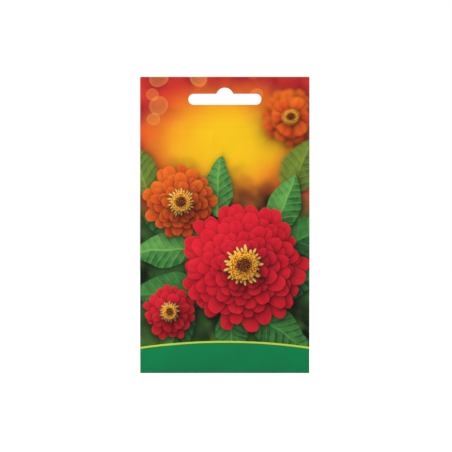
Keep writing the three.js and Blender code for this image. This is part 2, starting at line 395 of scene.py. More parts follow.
def cell_ply(row, column, beside):
    """The ply of the sheet's cell above a row and between two columns, or None where it has
    no paper."""
    kind = beside[0] if beside[0] in ("left", "right") else column[0]
    if row[0] == "panel":
        return None if row[1] < FOOT + BACK_RISE - NEAR and kind in ("back", "lap") else kind
    if kind != "front" or max(abs(column[1]), abs(beside[1])) > FLAP_END + NEAR:
        return None
    return row[0]


def build_sheet():
    """The middle of the sheet: points, their places on the flat sheet, faces, and the ply
    that each face is in."""
    columns, rows = sheet_columns(), sheet_rows()
    places = [tuple(p) for p in sheet_points(columns, rows).reshape(-1, 3)]
    flat = [(c[3], r[3]) for r in rows for c in columns]
    at = np.arange(len(places)).reshape(len(rows), len(columns))
    band = [j for j, r in enumerate(rows)
            if r[0] == "panel" and PATCH_LOW - NEAR <= r[1] <= PATCH_HIGH + NEAR]
    patches = {ply: [i for i, c in enumerate(columns)
                     if c[0] == ply and abs(c[1]) <= PATCH_X + NEAR]
               for ply in ("front", "back")}
    faces, plies = [], []
    for j in range(len(rows) - 1):
        for i in range(len(columns) - 1):
            ply = cell_ply(rows[j], columns[i], columns[i + 1])
            patch = patches.get(ply)
            cut = patch and band[0] <= j < band[-1] and patch[0] <= i < patch[-1]
            if ply and not cut:
                faces.append([at[j, i], at[j, i + 1], at[j + 1, i + 1], at[j + 1, i]])
                plies.append(ply)
    for ply, patch in patches.items():
        patch.sort(key=lambda i: columns[i][1])
        spots, triangles, edge = slot_patch([columns[i][1] for i in patch],
                                            [rows[j][1] for j in band])
        ids = [at[band[j], patch[i]] for j, i in edge]
        ids += range(len(places), len(places) + len(spots) - len(edge))
        added = np.array(spots[len(edge):])
        depths = ply_y(ply, added[:, 0], added[:, 1])
        places += [(x, y, BOTTOM + h) for (x, h), y in zip(added, depths)]
        turned = ply == "back"
        flat += [(back_across(x) if turned else x, h) for x, h in added]
        for face in triangles:
            corners = [ids[v] for v in face]
            faces.append(corners[::-1] if turned else corners)
            plies.append(ply)
    return places, flat, faces, plies


def thicken(places, faces):
    """Gives the middle of the sheet its thickness: (points, inner faces, edge walls). The
    points are the outer side's and then the inner side's, and faces are the outer faces."""
    middle = np.array(places)
    normals = np.zeros_like(middle)
    for face in faces:
        first, second, third, last = middle[(face + face[-1:])[:4]]
        normals[face] += np.cross(third - first, last - second)
    normals *= PAPER / 2 / np.maximum(np.linalg.norm(normals, axis=1, keepdims=True), NEAR)
    points = np.concatenate([middle + normals, middle - normals])
    count = len(places)
    inner = [[v + count for v in reversed(face)] for face in faces]
    directed = {(a, b) for face in faces for a, b in zip(face, face[1:] + face[:1])}
    free = sorted((a, b) for a, b in directed if (b, a) not in directed)
    walls = [[b, a, a + count, b + count] for a, b in free]
    return points, inner, walls


def new_object(name, data):
    """An object of the scene, with its data."""
    made = bpy.data.objects.new(name, data)
    bpy.context.scene.collection.objects.link(made)
    return made


def new_piece(name, points, faces, materials):
    """A piece with smooth faces, from points in mm."""
    mesh = bpy.data.meshes.new(name)
    mesh.from_pydata((points * MM).tolist(), [], faces)
    for material in materials:
        mesh.materials.append(material)
    mesh.polygons.foreach_set("use_smooth", [True] * len(faces))
    return new_object(name, mesh)


def packet_piece(front, back, bare):
    """The whole envelope as one mesh, with UV maps for the print and for the export."""
    places, flat, faces, plies = build_sheet()
    points, inner, walls = thicken(places, faces)
    used = sorted({v for face in faces for v in face})
    used += [v + len(places) for v in used]
    renumber = {v: k for k, v in enumerate(used)}
    all_faces = [[renumber[v] for v in face] for face in faces + inner + walls]
    piece = new_piece("packet", points[used], all_faces, (front, back, bare))
    mesh = piece.data
    plies += ["inside"] * (len(inner) + len(walls))
    slots = [{"back": 1, "lap": 1, "inside": 2}.get(ply, 0) for ply in plies]
    mesh.polygons.foreach_set("material_index", slots)
    corners = [(ply, *flat[used[v] % len(places)])
               for ply, face in zip(plies, all_faces) for v in face]
    put_uv(mesh, "Print", [corner[1:] for corner in corners])
    put_uv(mesh, "OFBake", [bake_place(*corner) for corner in corners])
    mesh.set_sharp_from_angle(angle=math.radians(50))
    mesh.validate()
    return piece


def put_uv(mesh, name, places):
    """A UV map from a place for each corner of the mesh's faces."""
    layer = mesh.uv_layers.new(name=name)
    layer.uv.foreach_set("vector", np.array(places, np.float32).ravel())


# Boxes of the flat sheet, from (across, up) to (across, up), and where each goes on the
# export's map. The front and its folds have the left part, and the rest has the right.
FRONT_BOX = (-WIDTH / 2 - 0.5, 0, WIDTH / 2 + 0.5, HEIGHT), (0, 0.002, 0.57, 0.998)
FLAP_BOX = (-WIDTH / 2, -14, WIDTH / 2, 0), (0.58, 0.1, 0.99, 0.02)
BAKE_BOXES = {
    "front": FRONT_BOX,
    "left": FRONT_BOX,
    "right": FRONT_BOX,
    "back": ((-WIDTH / 2, 0, -1.5 * WIDTH, HEIGHT), (0.58, 0.25, 0.93, 0.995)),
    "lap": ((WIDTH / 2, 0, 1.5 * WIDTH, HEIGHT), (0.94, 0.25, 1.29, 0.995)),
    "flap": FLAP_BOX,
    "turn": FLAP_BOX,
    "inside": ((-1.5 * WIDTH, -13, 0.75 * WIDTH, HEIGHT), (0.58, 0.12, 0.99, 0.22)),
}


def bake_place(ply, across, up):
    """Where a place on the flat sheet goes on the export's map."""
    (left, low, right, high), (u_left, w_low, u_right, w_high) = BAKE_BOXES[ply]
    u = u_left + (across - left) / (right - left) * (u_right - u_left)
    w = w_low + (up - low) / (high - low) * (w_high - w_low)
    return u, w


# ---- seeds

def seed_frame(name):
    """How a seed lies: its middle, its directions along and across, and how far its broad
    end and its point are from the middle. It points along."""
    corners = np.array([v.co for v in frame["nodes"][name].data.vertices]) / MM
    corners = np.unique(corners.round(3), axis=0)
    middle = corners.mean(axis=0)
    directions = np.linalg.eigh(np.cov((corners - middle).T))[1]
    across, along = directions[:, 1], directions[:, 2]
    reach = (corners - middle) @ along
    if reach.max() < -reach.min():
        along, reach = -along, -reach
    return middle, along, across, reach.min(), reach.max()


def push_clear(points):
    """How far a seed moves through the pocket to stay clear of the panels' dents."""
    x, y, h = points[:, 0], points[:, 1], points[:, 2] - BOTTOM
    to_front = y - ply_y("front", x, h) - PAPER / 2
    to_back = ply_y("back", x, h) - PAPER / 2 - y
    return max(0, SEED_GAP - to_front.min()) - max(0, SEED_GAP - to_back.min())


def seed_piece(name, husk):
    """One seed: a flat drop with a keel on each face and a notch in its broad end. Its rings
    run from the point down, and lie closer together at both ends."""
    draw = random.Random(name)
    middle, along, across, broad_end, point = seed_frame(name)
    half_width = SEED_HALF_WIDTH * draw.uniform(0.88, 1)
    half_depth = SEED_HALF_DEPTH * draw.uniform(0.85, 1)
    bow = draw.uniform(-0.1, 0.1)
    steps = np.arange(1, SEED_ROWS) / SEED_ROWS
    turns = math.tau * np.arange(SEED_SIDES) / SEED_SIDES
    down, turn = np.meshgrid((1 - np.cos(np.pi * steps)) / 2, turns, indexing="ij")
    x = half_width * np.sin(np.pi * down ** 2.5) ** 0.5 * np.cos(turn)
    keel = 0.78 + 0.22 * np.exp(-(x / 0.3) ** 2) + 0.04 * np.cos(9 * x)
    y = half_depth * np.sin(np.pi * down ** 1.8) ** 0.5 * np.sin(turn) * keel
    y += bow * (1 - 4 * (down - 0.5) ** 2)
    notch = 0.5 * np.exp(-(x / 0.4) ** 2) * np.clip((down - 0.7) / 0.3, 0, 1) ** 2
    z = point + (broad_end - point) * down + notch
    rings = np.stack([x, y, z], axis=2).reshape(-1, 3)
    places = np.vstack([[(0, 0, point)], rings, [(0, 0, broad_end + 0.5)]])
    points = middle + places @ np.array([across, np.cross(along, across), along])
    points[:, 1] += push_clear(points)
    last = len(points) - 1
    faces = []
    for k in range(SEED_SIDES):
        beside = (k + 1) % SEED_SIDES
        faces.append([0, 1 + k, 1 + beside])
        for j in range(SEED_ROWS - 2):
            above, below = 1 + j * SEED_SIDES, 1 + (j + 1) * SEED_SIDES
            faces.append([above + k, below + k, below + beside, above + beside])
        faces.append([last, last - SEED_SIDES + beside, last - SEED_SIDES + k])
    return new_piece(name.replace("seed", "husk"), points, faces, [husk])


# ---- shader arithmetic

def operator(operation, order=1):
    """A method that joins a Value and any other term in one Math node. With the order -1
    the other term comes first."""
    return lambda *terms: terms[0].graph.math(operation, *terms[::order])


class Value:
    """A number or a colour in a shader tree, with plain arithmetic."""

    def __init__(self, graph, socket):
        self.graph = graph
        self.socket = socket

    __add__ = __radd__ = operator("ADD")
    __sub__ = operator("SUBTRACT")
    __mul__ = __rmul__ = operator("MULTIPLY")
    __truediv__ = operator("DIVIDE")
    __pow__ = operator("POWER")
    __rsub__ = operator("SUBTRACT", order=-1)
    __rtruediv__ = operator("DIVIDE", order=-1)
    __abs__ = operator("ABSOLUTE")

    def __neg__(self):
        return self * -1.0


FAR = 1e6  # more than any value that a picture is worked out from


class Graph:
    """Adds nodes to one shader tree."""

    def __init__(self, tree):
        self.tree = tree

    def add(self, kind, inputs, **settings):
        """A new node, with what goes into each of its inputs by name or number."""
        node = self.tree.nodes.new("ShaderNode" + kind)
        for name, value in settings.items():
            setattr(node, name, value)
        for name, value in inputs.items():
            self.feed(node.inputs[name], value)
        return node

    def feed(self, socket, value):
        if isinstance(value, Value):
            self.tree.links.new(value.socket, socket)
        else:
            socket.default_value = value

    def value(self, kind, inputs, **settings):
        """The first output of a new node."""
        return Value(self, self.add(kind, inputs, **settings).outputs[0])

    def math(self, operation, *terms, clamp=False):
        return self.value("Math", dict(enumerate(terms)), operation=operation, use_clamp=clamp)

    def sqrt(self, value):
        return self.math("SQRT", self.math("MAXIMUM", value, 0))

    def clamp(self, value):
        return self.math("ADD", value, 0, clamp=True)

    def exp(self, value):
        return self.math("EXPONENT", value)

    def length(self, dx, dz):
        return self.sqrt(dx * dx + dz * dz)

    def step(self, value, low, high):
        """0 below low and 1 above high, with a soft change between; low may be the higher."""
        inputs = {"Value": value, "From Min": low, "From Max": high}
        return self.value("MapRange", inputs, interpolation_type="SMOOTHSTEP")

    def mix(self, share, first, second, clamp=True):
        inputs = {0: share, 6: first, 7: second}
        node = self.add("Mix", inputs, data_type="RGBA", clamp_factor=clamp)
        return Value(self, node.outputs[2])

    def scale(self, colour, factor):
        """A colour made darker or lighter."""
        return self.mix(factor, (0, 0, 0, 1), colour, clamp=False)

    def red(self, colour):
        """The red of a colour as a number."""
        return self.value("SeparateColor", {"Color": colour})

    def after(self, colour, *values):
        """The same values, worked out only once the colour is. It keeps the layers of a
        picture in turn, so that the renderer holds few values of a material at a time."""
        late = self.red(colour) + FAR
        return [self.math("MINIMUM", value, late) for value in values]

    def point(self, x, y, z=0):
        return self.value("CombineXYZ", {"X": x, "Y": y, "Z": z})

    def noise(self, x, y, z=0, scale=1, detail=2, rough=0.5):
        place = self.point(x, y, z)
        inputs = {"Vector": place, "Scale": scale, "Detail": detail, "Roughness": rough}
        return self.value("TexNoise", inputs)

    def cells(self, x, y, scale, randomness):
        """(distance, colour) of a pattern of cells."""
        inputs = {"Vector": self.point(x, y), "Scale": scale, "Randomness": randomness}
        node = self.add("TexVoronoi", inputs, voronoi_dimensions="2D")
        return Value(self, node.outputs[0]), Value(self, node.outputs[1])

    def draws(self, x, y):
        """Three numbers from 0 to 1 that are random from one whole x and y to the next."""
        node = self.add("TexWhiteNoise", {"Vector": self.point(x, y)}, noise_dimensions="2D")
        return self.split("SeparateColor", Value(self, node.outputs["Color"]))

    def split(self, kind, value):
        """The three numbers of a colour or a vector."""
        parts = self.add(kind, {0: value})
        return [Value(self, output) for output in parts.outputs[:3]]


def group(name, build, numbers, colours):
    """A reusable group of nodes. build makes its colour from the inputs that are named."""
    tree = bpy.data.node_groups.new(name, "ShaderNodeTree")
    for kind, names in (("NodeSocketFloat", numbers), ("NodeSocketColor", colours)):
        for socket in names.split():
            tree.interface.new_socket(socket, in_out="INPUT", socket_type=kind)
    tree.interface.new_socket("Colour", in_out="OUTPUT", socket_type="NodeSocketColor")
    graph = Graph(tree)
    source = tree.nodes.new("NodeGroupInput")
    inputs = (numbers + " " + colours).split()
    result = build(graph, **{name: Value(graph, source.outputs[name]) for name in inputs})
    sink = tree.nodes.new("NodeGroupOutput")
    tree.links.new(result.socket, sink.inputs[0])
    return tree


# ---- parts of the picture

LIGHT_X, LIGHT_Z = -0.5, 0.87  # where the picture's light comes from


def facing(dx, dz):
    """How much a direction in the picture faces its light."""
    return dx * LIGHT_X + dz * LIGHT_Z


def side_and_end_light(ax, az):
    """How much the left side and the end of something that points along (ax, az) face the
    picture's light."""
    return az * -LIGHT_X + ax * LIGHT_Z, facing(ax, az)


def laid_over(g, below, cover, colour, outside, toward_light, reach, depth):
    """A colour over what is below it, which it shades: most close to its edge and on the
    side away from the light. toward_light is 1 where the edge faces the light, and -1
    behind."""
    near = g.exp(-g.math("MAXIMUM", outside, 0) / reach)
    shade = 1 - near * g.clamp(0.58 - toward_light * 0.42) * depth
    return g.mix(cover, g.scale(below, shade), colour)


def petal_set(g, X, Z, CentreX, CentreZ, Count, Turn, Root, Tip, Half, Blur, Seed, Reach,
              Below, Light, Dark, Base):
    """Petals spread evenly round a centre, over what is below them."""
    X, Z = g.after(Below, X, Z)
    dx, dz = X - CentreX, Z - CentreZ
    spread = g.math("ARCTAN2", dz, dx) - Turn
    spacing = math.tau / Count
    sector = g.math("ROUND", spread / spacing)
    number = g.math("FLOORED_MODULO", sector, Count)
    one, two, three = g.draws(number, Seed)
    heading = sector * spacing + (one - 0.5) * spacing * 0.24 + Turn
    ax, az = g.math("COSINE", heading), g.math("SINE", heading)
    along = dx * ax + dz * az
    aside = dz * ax - dx * az + (two - 0.5) * along * along / Tip * 0.1
    tip = Tip * (1 - two * 0.13)
    share = (along - Root) / (tip - Root)
    half = Half * (0.42 + 0.58 * g.step(share, 0, 0.62)) * (0.9 + 0.2 * three)
    beyond = g.math("MAXIMUM", (share - 0.66) / 0.34, 0)
    cross = aside / half
    across = cross * cross
    notch = g.exp(across * -9) * g.step(share, 0.75, 1) * 0.07
    outside = (g.sqrt(across + beyond * beyond) + notch - 1) * half
    cover = g.step(outside, Blur, -Blur)
    side_light, end_light = side_and_end_light(ax, az)
    groove = g.exp(across * -30) * 0.16
    streak = g.noise(cross * 6.5, share * 1.1, number * 3.7 + Seed, detail=3) - 0.5
    dome = facing(dx, dz) / Tip
    tone = 0.46 + cross * side_light * 0.24 + (share - 0.55) * (end_light * 0.3 + 0.35) \
        + dome * 0.09 - groove + streak * 0.7 + (three - 0.5) * 0.36
    petal = g.mix(g.clamp(tone), Dark, Light)
    petal = g.mix(g.step(share, 0.5, 0.02) * 0.9, petal, Base)
    rim = g.step(outside, -0.5, -0.05) * g.step(share, 0.25, 0.8) * (0.3 + 0.2 * end_light)
    petal = g.mix(rim, petal, Light)
    toward_light = g.clamp(beyond) * end_light + g.math("SIGN", cross) * side_light \
        * (1 - g.clamp(beyond))
    return laid_over(g, Below, cover, petal, outside, toward_light, Reach + Blur, 0.86)


def flower_eye(g, X, Z, CentreX, CentreZ, Radius, Blur, Seed, Below, Ring, Middle):
    """The round eye of small florets in a flower's middle."""
    X, Z = g.after(Below, X, Z)
    dx, dz = (X - CentreX) / Radius, (Z - CentreZ) / Radius
    away = g.length(dx, dz)
    wobble = g.noise(dx, dz, Seed, scale=3.5, detail=1) - 0.5
    outside = (away + wobble * 0.16 - 1) * Radius
    cover = g.step(outside, Blur, -Blur)
    squeeze = 1 / (0.45 + 0.55 * away)
    near, tint = g.cells(dx * squeeze + Seed, dz * squeeze, 9.5, randomness=0.75)
    floret = g.step(near, 0.55, 0.15)
    ring = g.step(away, 0.36, 0.8)
    pick = g.red(tint)
    colour = g.mix(g.clamp(ring * 1.15 - (pick - 0.5) * 0.8), Middle, Ring)
    gap = g.mix(ring, srgb(58, 16, 10), srgb(176, 84, 14))
    colour = g.mix(floret, gap, colour)
    colour = g.scale(colour, 1 + 0.26 * facing(dx, dz))
    toward_light = facing(dx, dz) / (away + 0.01)
    return laid_over(g, Below, cover, colour, outside, toward_light, 1 + Blur, 0.95)


def leaf_blade(g, X, Z, BaseX, BaseZ, Heading, Length, Half, Curl, Blur, Seed, Reach,
               Below, Light, Dark):
    """One leaf with its rib and veins, over what is below it."""
    X, Z = g.after(Below, X, Z)
    dx, dz = X - BaseX, Z - BaseZ
    ax, az = g.math("COSINE", Heading), g.math("SINE", Heading)
    along = dx * ax + dz * az
    share = along / Length
    aside = dz * ax - dx * az - Curl * share * share * Length
    inside = g.math("MAXIMUM", share * (1 - share) * 4, 0)
    narrow = 1 - 0.35 * g.step(share, 0.4, 1)
    half = Half * inside ** 0.7 * narrow
    over = along - Length * g.clamp(share)
    outside = g.length(aside, over) - half
    cover = g.step(outside, Blur, -Blur)
    side = g.math("SIGN", aside)
    across = abs(aside) / (half + 0.2)
    vein_at = g.math("FRACT", (along - abs(aside) * 0.8 + across * across * 1.2)
                     / (Length * 0.12) + Seed) - 0.5
    vein = g.exp(-(vein_at * vein_at) * 190) * g.step(across, 0, 0.2) * 0.42
    rib = g.exp(-(aside * aside) / (0.04 + 0.014 * Half)) * g.step(share, 1, 0.7) * 0.75
    side_light, end_light = side_and_end_light(ax, az)
    mottle = g.noise(X, Z, Seed, scale=0.3, detail=4, rough=0.6) - 0.5
    tone = 0.42 + side * side_light * 0.17 + vein_at * end_light * 0.26 \
        + mottle * 0.8 - across * 0.16
    blade = g.mix(g.clamp(tone), Dark, Light)
    blade = g.mix(g.clamp(vein + rib), blade, Light)
    return laid_over(g, Below, cover, blade, outside, side * side_light, Reach + Blur, 0.85)


PETALS = group("Petals", petal_set, "X Z CentreX CentreZ Count Turn Root Tip Half Blur Seed Reach",
               "Below Light Dark Base")
EYE = group("Flower eye", flower_eye, "X Z CentreX CentreZ Radius Blur Seed", "Below Ring Middle")
LEAF = group("Leaf", leaf_blade, "X Z BaseX BaseZ Heading Length Half Curl Blur Seed Reach",
             "Below Light Dark")

GREENS = {"Light": srgb(124, 188, 90), "Dark": srgb(24, 92, 42)}
DEEP_GREENS = {"Light": srgb(84, 158, 70), "Dark": srgb(10, 54, 34)}
SOFT_GREENS = {"Light": srgb(140, 160, 58), "Dark": srgb(66, 92, 34)}
SCARLET = {"Light": srgb(230, 34, 50), "Dark": srgb(196, 10, 36), "Base": srgb(120, 2, 22)}
ORANGE = {"Light": srgb(244, 116, 28), "Dark": srgb(198, 42, 22), "Base": srgb(126, 12, 14)}
GOLD = {"Light": srgb(252, 222, 120), "Dark": srgb(232, 158, 40), "Base": srgb(168, 76, 16)}
GOLDEN_EYE = {"Ring": srgb(248, 196, 56), "Middle": srgb(112, 30, 20)}
WHITE = srgb(238, 237, 230)
LIME = srgb(196, 210, 60)


class Picture:
    """A picture painted layer by layer, with x across and z up in mm."""

    def __init__(self, g, x, z, colour):
        self.g, self.x, self.z, self.colour = g, x, z, colour

    def paint(self, cover, colour):
        self.colour = self.g.mix(cover, self.colour, colour)

    def lay(self, part, **values):
        """Puts a group of nodes over the picture."""
        values.update(X=self.x, Z=self.z, Below=self.colour)
        self.colour = self.g.value("Group", values, node_tree=part)

    def away(self, middle):
        """How far off a point is."""
        return self.g.length(self.x - middle[0], self.z - middle[1])

    def disc(self, middle, radius):
        """1 within a circle."""
        return self.g.step(self.away(middle), radius + 0.06, radius - 0.06)

    def ring(self, middle, radius, width):
        """1 on a circle's line."""
        off = abs(self.away(middle) - radius)
        return self.g.step(off, width / 2 + 0.05, width / 2 - 0.05)

    def paint_box(self, across, up, corner, colour, lift=0):
        """Paints a box with round corners that is raised by lift."""
        g = self.g
        middle = (across[0] + across[1]) / 2, (up[0] + up[1]) / 2 + lift
        half = (across[1] - across[0]) / 2 - corner, (up[1] - up[0]) / 2 - corner
        dx = g.math("MAXIMUM", abs(self.x - middle[0]) - half[0], 0)
        dz = g.math("MAXIMUM", abs(self.z - middle[1]) - half[1], 0)
        self.paint(g.step(g.length(dx, dz), corner + 0.05, corner - 0.05), colour)

    def leaves(self, sprigs, colours, blur=0.15, reach=1.5):
        """Leaves from (base x, base z, heading in degrees, length, half width, curl)."""
        for seed, (x, z, heading, length, half, curl) in enumerate(sprigs):
            self.lay(LEAF, BaseX=x, BaseZ=z, Heading=math.radians(heading), Length=length,
                     Half=half, Curl=curl, Blur=blur, Seed=seed * 1.37, Reach=reach, **colours)

    def blossom(self, centre, radius, rings, colours, turn, seed, blur=0.12, eye=0.25,
                reach=0.95):
        """A daisy-like flower: rings of petals from the outermost in, and a golden eye. Each
        ring is two sets of petals, so that every second petal lies over its neighbours.
        reach is how far a petal's shade goes."""
        middle = {"CentreX": centre[0], "CentreZ": centre[1], "Blur": blur}
        for k, (count, tip, half) in enumerate(rings):
            for second in (0, 1):
                self.lay(PETALS, Count=count / 2, Root=radius * eye * 0.6,
                         Tip=radius * tip * (1 - 0.03 * second), Half=radius * half,
                         Turn=turn + (k * 0.6 + second) * math.tau / count,
                         Seed=seed + 2 * k + second, Reach=reach, **middle, **colours)
        for second in (0, 1) if blur < 0.5 else ():
            self.lay(PETALS, Count=13, Root=radius * eye * 0.5,
                     Tip=radius * eye * (1.5 - 0.18 * second), Half=radius * eye * 0.085,
                     Turn=turn + second * 0.24, Seed=seed + 50 + second, Reach=reach,
                     **middle, **GOLD)
        self.lay(EYE, Radius=radius * eye, Seed=seed, **middle, **GOLDEN_EYE)


def backdrop(g, x, z):
    """The soft ground of the picture: dark green below, a warm glow above, red at the top,
    and pale discs of light out of focus."""
    cloud = g.noise(x, z, 3, scale=0.045, detail=2)
    fine = g.noise(x, z, 8, scale=0.11, detail=1)
    ground = g.mix(g.step(cloud, 0.4, 0.66), srgb(10, 26, 14), srgb(58, 98, 42))
    ground = g.mix(g.step(fine, 0.5, 0.8) * 0.6, ground, srgb(92, 128, 52))
    red = g.mix(g.step(fine, 0.3, 0.7), srgb(166, 26, 34), srgb(216, 56, 34))
    red = g.mix(g.step(z, 122, 142) * 0.5, red, srgb(164, 30, 36))
    away = g.length((x - 2) / 46, (z - 109) / 31) + (cloud - 0.5) * 0.3
    warm = g.mix(g.step(away, 0.2, 0.85), srgb(240, 190, 18), srgb(232, 124, 26))
    upper = g.mix(g.step(away, 0.52, 1.08), warm, red)
    around = g.step(away, 0.3, 0.95)
    upper = soft_discs(g, x + 3, z, upper, 0.058, around)
    upper = soft_discs(g, x + 2, z + 5, upper, 0.083, around)
    return g.mix(g.step(z + (cloud - 0.5) * 40 + (fine - 0.5) * 14, 72, 98),
                 ground, upper)


def soft_discs(g, x, z, below, scale, strength):
    """Scattered pale discs, as bright points far out of focus make."""
    near, tint = g.cells(x, z, scale, randomness=0.45)
    share = g.math("MAXIMUM", g.red(tint) - 0.45, 0) * 0.5
    inside = g.step(near, 0.265, 0.235) * (0.7 + g.step(near, 0.15, 0.24) * 0.3)
    return g.mix(inside * share * strength, below, srgb(255, 206, 100))


def footer(g, x, z, below):
    """The plain band across the foot, with a gently arched edge."""
    edge = FOOTER_HEIGHT + 1.6 - x * x / 520
    band = g.mix(g.step(z, 0, edge), srgb(0, 122, 70), srgb(0, 126, 72))
    over = g.step(z - edge, 0.08, -0.08)
    line = g.step(abs(z - edge - 0.45), 0.5, 0.36)
    return g.mix(over, g.mix(line, below, LIME), band)


def front_picture(g, x, z):
    """Four blossoms among leaves, over a plain band. Slow waves bend it all a little."""
    bent_x, bent_z = (place + (g.noise(x, z, seed, scale=0.1, detail=1) - 0.5) * 2.4
                      for place, seed in ((x, 21), (z, 27)))
    pic = Picture(g, bent_x, bent_z, backdrop(g, bent_x, bent_z))
    pic.blossom((31, 121), 15, ((14, 1, 0.2), (12, 0.7, 0.2)), ORANGE, 0.3, 31, blur=1.2)
    pic.leaves((
        (30, 84, 70, 30, 9, -0.1),
        (-36, 84, 108, 28, 8.5, 0.1),
    ), SOFT_GREENS, blur=1.3)
    pic.leaves((
        (2, 58, 152, 44, 10, 0.12),
        (14, 54, 28, 44, 11, -0.1),
        (14, 40, 4, 32, 9, 0.15),
        (-6, 40, 190, 38, 10, -0.12),
        (-16, 34, 240, 30, 8.5, 0.1),
        (12, 32, -44, 34, 10, 0.12),
        (2, 30, -82, 24, 8, -0.1),
    ), DEEP_GREENS, blur=0.3)
    pic.leaves((
        (-3, 74, 96, 28, 7.5, -0.14),
        (22, 66, 62, 30, 8, 0.1),
        (-14, 58, 176, 30, 8.5, 0.12),
    ), GREENS)
    side_rings = (18, 1, 0.165), (16, 0.8, 0.15), (12, 0.56, 0.13)
    low_rings = (16, 1, 0.18), (12, 0.74, 0.17)
    main_rings = ((26, 1, 0.135), (24, 0.87, 0.125), (22, 0.72, 0.115), (18, 0.56, 0.1),
                  (14, 0.41, 0.085))
    pic.blossom((-21, 81), 18.5, side_rings, ORANGE, 0.1, 5, blur=0.2)
    pic.blossom((-26, 29), 13.5, low_rings, SCARLET, 0.5, 12, blur=0.2)
    pic.blossom((9, 51), 32, main_rings, SCARLET, 0, 20, eye=0.21)
    return footer(g, x, z, pic.colour)


def back_picture(g, x, z):
    """The back, with x across as seen from behind: a warm band, a plain panel with a round
    picture, three signs and four stages of growth, and a strip of months over a green foot."""
    pic = Picture(g, x, z, srgb(232, 224, 200))
    band = g.mix(g.step(z, POCKET_TOP, HEIGHT), srgb(236, 150, 40), srgb(188, 40, 30))
    pic.paint(g.step(z, BACK_BAND - 0.1, BACK_BAND + 0.1), band)
    pic.paint(g.step(abs(z - (BACK_BAND - 0.6)), 0.5, 0.4), LIME)
    for frame, tint in ((0.4, srgb(120, 168, 96)), (0, WHITE)):
        pic.paint_box((-BACK_PANEL - frame, BACK_PANEL + frame), (42 - frame, 112 + frame),
                      2.5 + frame, tint)
    round_picture(pic, (-19, 98), 11)
    signs(pic, 98)
    growth(pic)
    months(pic)
    pic.paint(g.step(z, BACK_FOOT_HEIGHT + 0.1, BACK_FOOT_HEIGHT - 0.1), srgb(0, 112, 66))
    return pic.colour


def round_picture(pic, middle, radius):
    """A blossom and three leaves in a round frame."""
    pic.paint(pic.disc(middle, radius), srgb(28, 74, 34))
    around = pic.colour
    pic.leaves([(*middle, heading, 13, 4.5, 0.1) for heading in (35, 160, 275)], GREENS)
    pic.blossom(middle, 9.2, ((16, 1, 0.18), (12, 0.74, 0.16)), SCARLET, 0.2, 3)
    inside = pic.disc(middle, radius)
    pic.colour = pic.g.mix(inside, around, pic.colour)
    pic.paint(pic.ring(middle, radius + 0.1, 0.5), LIME)


def signs(pic, row):
    """Plain signs in three small tiles along a row: a sun, a drop and a sprout."""
    g, x, z = pic.g, pic.x, pic.z
    sun, drop, sprout, half = 2, 14, 26, 4.6
    tints = {sun: srgb(236, 160, 30), drop: srgb(60, 136, 180), sprout: srgb(52, 134, 62)}
    for middle, tint in tints.items():
        pic.paint_box((middle - half, middle + half), (row - half, row + half), 1.4, tint)
    dx, dz = x - sun, z - row
    away = g.length(dx, dz)
    turn = g.math("ARCTAN2", dz, dx) * (8 / math.tau)
    ray = g.step(abs(turn - g.math("ROUND", turn)) * away, 0.42, 0.34)
    rays = ray * g.step(abs(away - 2.9), 0.6, 0.5)
    pic.paint(g.math("MAXIMUM", rays, g.step(away, 1.75, 1.6)), WHITE)
    drop_height, drop_radius = 3.4, 1.9
    dx, dz = x - drop, z - (row - 0.8)
    rise = g.clamp(dz / drop_height)
    beyond = g.math("MINIMUM", dz, 0) + g.math("MAXIMUM", dz - drop_height, 0)
    outside = g.length(dx, beyond) - drop_radius * (1 - rise) ** 0.8
    pic.paint(g.step(outside, 0.08, -0.08), WHITE)
    pic.paint_box((sprout - 0.25, sprout + 0.25), (row - 3.2, row + 0.6), 0.1, WHITE)
    sprigs = [(sprout, row - 0.4, heading, 3.6, 1, curl)
              for heading, curl in ((38, 0.1), (142, -0.1))]
    pic.leaves(sprigs, {"Light": WHITE, "Dark": WHITE}, blur=0.06, reach=0)


def growth(pic):
    """Four stages on a strip of soil: the seed, two seedlings and the plant in flower."""
    g, x, z = pic.g, pic.x, pic.z
    crumbs = g.noise(x, z, 2, scale=1.2, detail=3)
    mound = g.noise(x, 0, 6, scale=0.35, detail=1)
    soil = g.mix(g.step(crumbs, 0.38, 0.66), srgb(84, 56, 38), srgb(138, 100, 68))
    pic.paint_box((-28, 28), (48.5, 56.5), 1.2, soil, lift=(mound - 0.5) * 1.6)
    pic.paint_box((-23.6, -20.4), (51.8, 53.2), 0.7, srgb(226, 196, 140))
    plants = ((-8, 61, ((61, 5, 40),)), (6, 67, ((60, 8, 18), (67, 6, 42))),
              (21, 76, ((59, 9, 12), (66, 8, 24))))
    sprigs = []
    for middle, top, joints in plants:
        pic.paint_box((middle - 0.35, middle + 0.35), (55, top), 0.3, srgb(86, 150, 60))
        for up, length, lift in joints:
            sprigs.append((middle, up, lift, length, length * 0.28, 0.12))
            sprigs.append((middle, up, 180 - lift, length, length * 0.28, -0.12))
    pic.leaves(sprigs, GREENS, blur=0.1, reach=0.1)
    pic.blossom((21, 77), 6.5, ((16, 1, 0.18), (12, 0.72, 0.16)), SCARLET, 0.1, 8, reach=0.2)


def months(pic):
    """Twelve blank cells: green ones to sow in and red ones to flower in."""
    g = pic.g
    place = (pic.x + BACK_PANEL) / (2 * BACK_PANEL / 12)
    cell = g.math("FLOOR", place)
    inside = g.step(abs(place - cell - 0.5), 0.46, 0.42)
    sow = g.step(abs(cell - 4), 1.6, 1.4)
    bloom = g.step(abs(cell - 7.5), 2.1, 1.9)
    tint = g.mix(bloom, srgb(206, 210, 188), srgb(206, 48, 36))
    tint = g.mix(sow, tint, srgb(56, 140, 70))
    pic.paint_box((-BACK_PANEL, BACK_PANEL), (27, 34), 0.8, g.mix(inside, WHITE, tint))


# ---- materials

